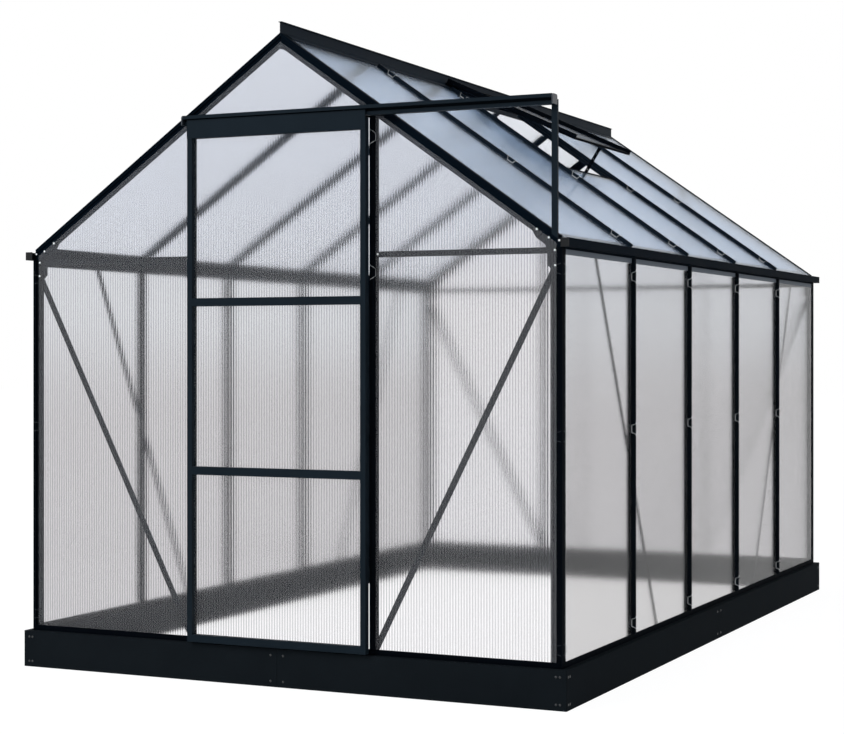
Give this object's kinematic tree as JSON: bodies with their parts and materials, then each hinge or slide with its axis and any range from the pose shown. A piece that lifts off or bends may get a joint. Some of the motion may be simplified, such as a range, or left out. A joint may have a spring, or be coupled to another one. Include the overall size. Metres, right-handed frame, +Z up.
{
  "type": "greenhouse",
  "caption": "Small gabled greenhouse: dark metal frame, frosted ribbed twin-wall sheets, sliding door under an overhead track, roof vent propped open, folded steel plinth.",
  "frame": {"origin": "centre of the footprint at ground level, under the middle of the bounding box", "axes": "+X to the right facing the door gable, +Y towards the rear gable, +Z up"},
  "size_m": [1.948, 3.214, 2.0982],
  "materials": {
    "coated_aluminium": "satin dark grey powder coat",
    "coated_steel": "satin dark grey powder coat",
    "twin_wall_sheet": "clear twin-wall plastic with fine ribs",
    "black_plastic": "moulded black plastic",
    "bare_metal": "bare zinc-plated bolts and spring-steel glazing wires",
    "edge_tape": "grey sealing tape on the cut edges of the sheets"
  },
  "bodies": {
    "house": {"base_brackets": "coated_steel", "base_front": "coated_steel", "base_left": "coated_steel", "base_rear": "coated_steel", "base_right": "coated_steel", "corner_posts": "coated_aluminium", "door_jambs": "coated_aluminium", "door_track": "coated_aluminium", "eave_beam_left": "coated_aluminium", "eave_beam_right": "coated_aluminium", "front_sheets": "twin_wall_sheet", "gable_braces": "coated_aluminium", "gable_rafters_front": "coated_aluminium", "gable_rafters_rear": "coated_aluminium", "gable_rails_front": "coated_aluminium", "gable_rails_rear": "coated_aluminium", "gussets": "coated_aluminium", "gutter_caps": "black_plastic", "rear_mullions": "coated_aluminium", "rear_sheets": "twin_wall_sheet", "ridge_beam": "coated_aluminium", "roof_bars_left": "coated_aluminium", "roof_bars_right": "coated_aluminium", "roof_sheets_left": "twin_wall_sheet", "roof_sheets_right": "twin_wall_sheet", "sills_gable": "coated_aluminium", "sills_side": "coated_aluminium", "track_caps": "black_plastic", "track_strut": "coated_aluminium", "vent_cross_bar": "coated_aluminium", "vent_sash": "coated_aluminium", "vent_sheet": "twin_wall_sheet", "vent_stay": "coated_aluminium", "wall_bars_left": "coated_aluminium", "wall_bars_right": "coated_aluminium", "wall_braces": "coated_aluminium", "wall_sheets_left": "twin_wall_sheet", "wall_sheets_right": "twin_wall_sheet"},
    "door": {"door_guides": "black_plastic", "door_hangers": "coated_aluminium", "door_rails": "coated_aluminium", "door_sheets": "twin_wall_sheet", "door_stiles": "coated_aluminium", "door_top_plate": "coated_aluminium", "door_wheels": "black_plastic"}
  },
  "joints": [
    {"name": "door_slide", "type": "slide", "parent": "house", "child": "door", "axis": [1, 0, 0], "range_m": [0, 0.6]}
  ]
}
